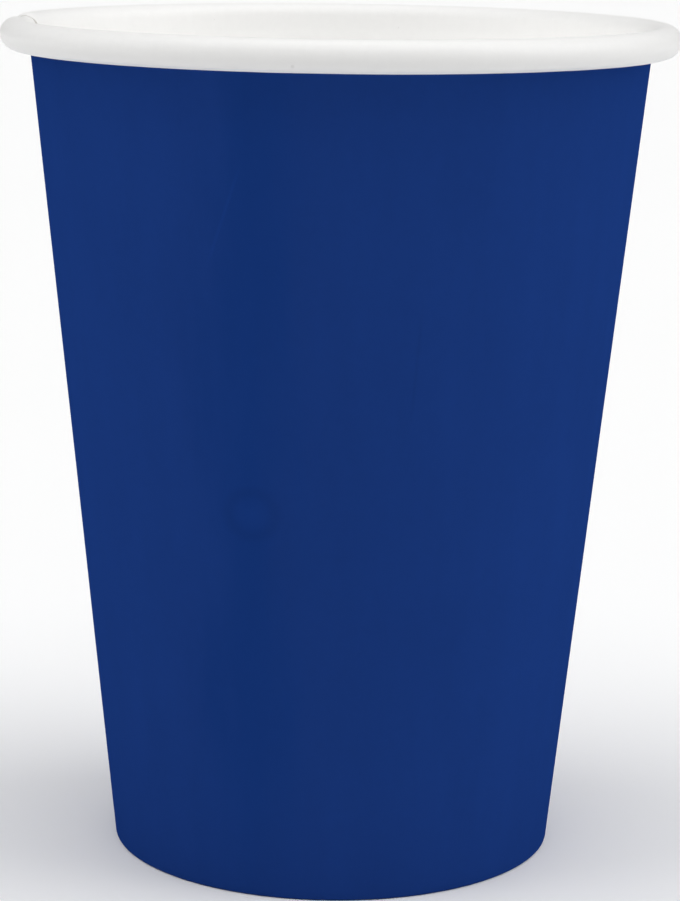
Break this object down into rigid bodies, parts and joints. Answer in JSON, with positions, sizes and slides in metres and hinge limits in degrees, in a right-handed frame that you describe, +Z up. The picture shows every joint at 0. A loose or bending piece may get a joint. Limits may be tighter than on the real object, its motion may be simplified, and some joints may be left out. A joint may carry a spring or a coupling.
{
  "type": "paper cup",
  "caption": "Tall tapered paper drinking cup with a rolled rim, a lapped side seam, a folded foot and a recessed base.",
  "frame": {"origin": "centre of the circle that the foot stands on, level with the table", "axes": "+Z up along the cup's axis, towards the open rim; +Y towards the side seam"},
  "size_m": [0.09, 0.09, 0.112],
  "materials": {
    "printed_board": "satin",
    "plain_board": "satin"
  },
  "bodies": {
    "root": {"sidewall": "printed_board", "base_disc": "plain_board"}
  },
  "joints": []
}
